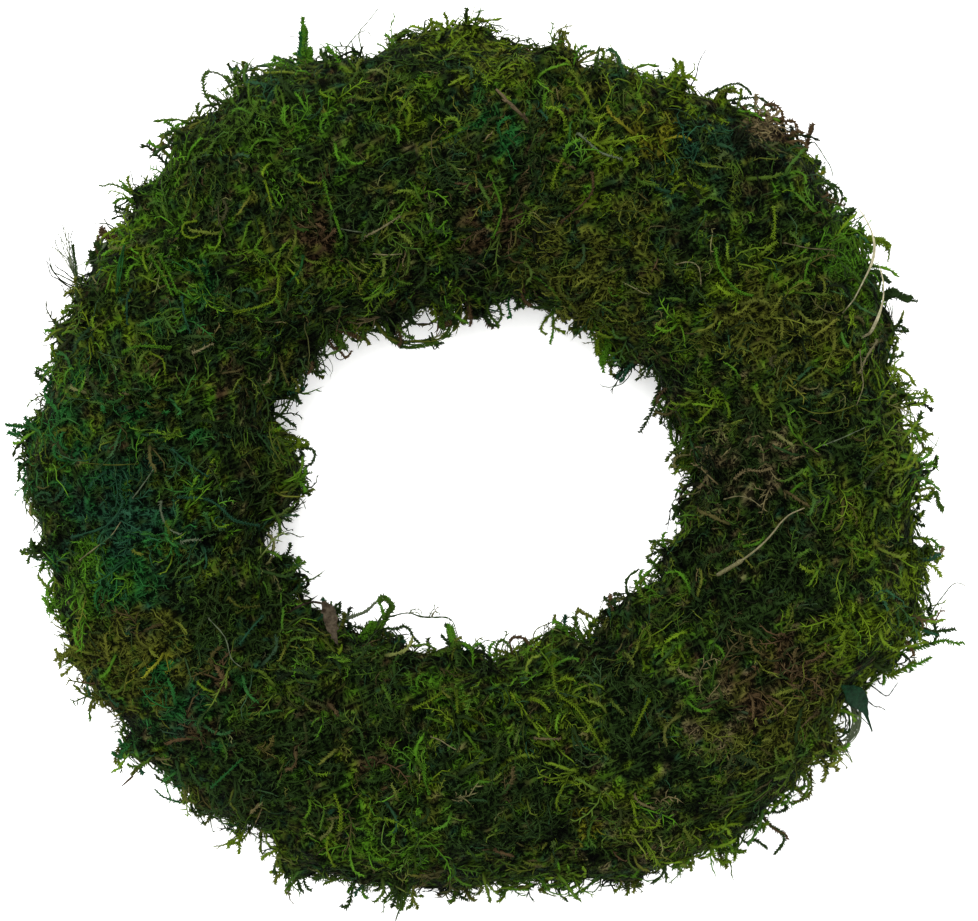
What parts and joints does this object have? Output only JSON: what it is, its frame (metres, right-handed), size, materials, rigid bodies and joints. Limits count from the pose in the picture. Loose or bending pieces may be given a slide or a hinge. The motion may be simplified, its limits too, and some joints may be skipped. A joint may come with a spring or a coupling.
{
  "type": "moss wreath",
  "caption": "Round wreath of preserved green moss wrapped over a straw ring and bound with wire, with dry grass, a twig and leaves caught in it; lies flat on its back.",
  "frame": {"origin": "middle of the wreath's box, on the surface it lies on", "axes": "+Z out of the front of the wreath, towards the viewer; +Y is the top of the wreath as it is seen in the picture; +X to the right"},
  "size_m": [0.3678, 0.3542, 0.0861],
  "materials": {
    "straw": "dry straw, matt",
    "wire": "thin dull florist wire",
    "moss_deep": "preserved moss, dark green, matt",
    "moss_fern": "preserved moss, mid green, matt",
    "moss_emerald": "preserved moss, blue-green, matt",
    "moss_olive": "preserved moss, olive and brown, matt",
    "moss_lime": "preserved moss, yellow-green, matt",
    "dry_grass": "dry pale stalk, slight sheen",
    "bark": "brown bark",
    "leaf": "dark green leaf, slight sheen",
    "dead_leaf": "dry red-brown leaf"
  },
  "bodies": {
    "root": {"straw_ring": "straw", "wire_tie_01": "wire", "wire_tie_02": "wire", "wire_tie_03": "wire", "wire_tie_04": "wire", "wire_tie_05": "wire", "wire_tie_06": "wire", "wire_tie_07": "wire", "wire_tie_08": "wire", "wire_tie_09": "wire", "moss_bunch_01": "moss_fern", "moss_bunch_02": "moss_deep", "moss_bunch_03": "moss_deep", "moss_bunch_04": "moss_olive", "moss_bunch_05": "moss_fern", "moss_bunch_06": "moss_fern", "moss_bunch_07": "moss_olive", "moss_bunch_08": "moss_deep", "moss_bunch_09": "moss_emerald", "moss_bunch_10": "moss_emerald", "moss_bunch_11": "moss_olive", "moss_bunch_12": "moss_deep", "moss_bunch_13": "moss_lime", "moss_bunch_14": "moss_fern", "moss_bunch_15": "moss_lime", "moss_bunch_16": "moss_lime", "grass_blade_1": "dry_grass", "grass_blade_2": "dry_grass", "straw_stalk": "dry_grass", "twig": "bark", "dark_leaf": "leaf", "brown_leaf": "dead_leaf"}
  },
  "joints": []
}
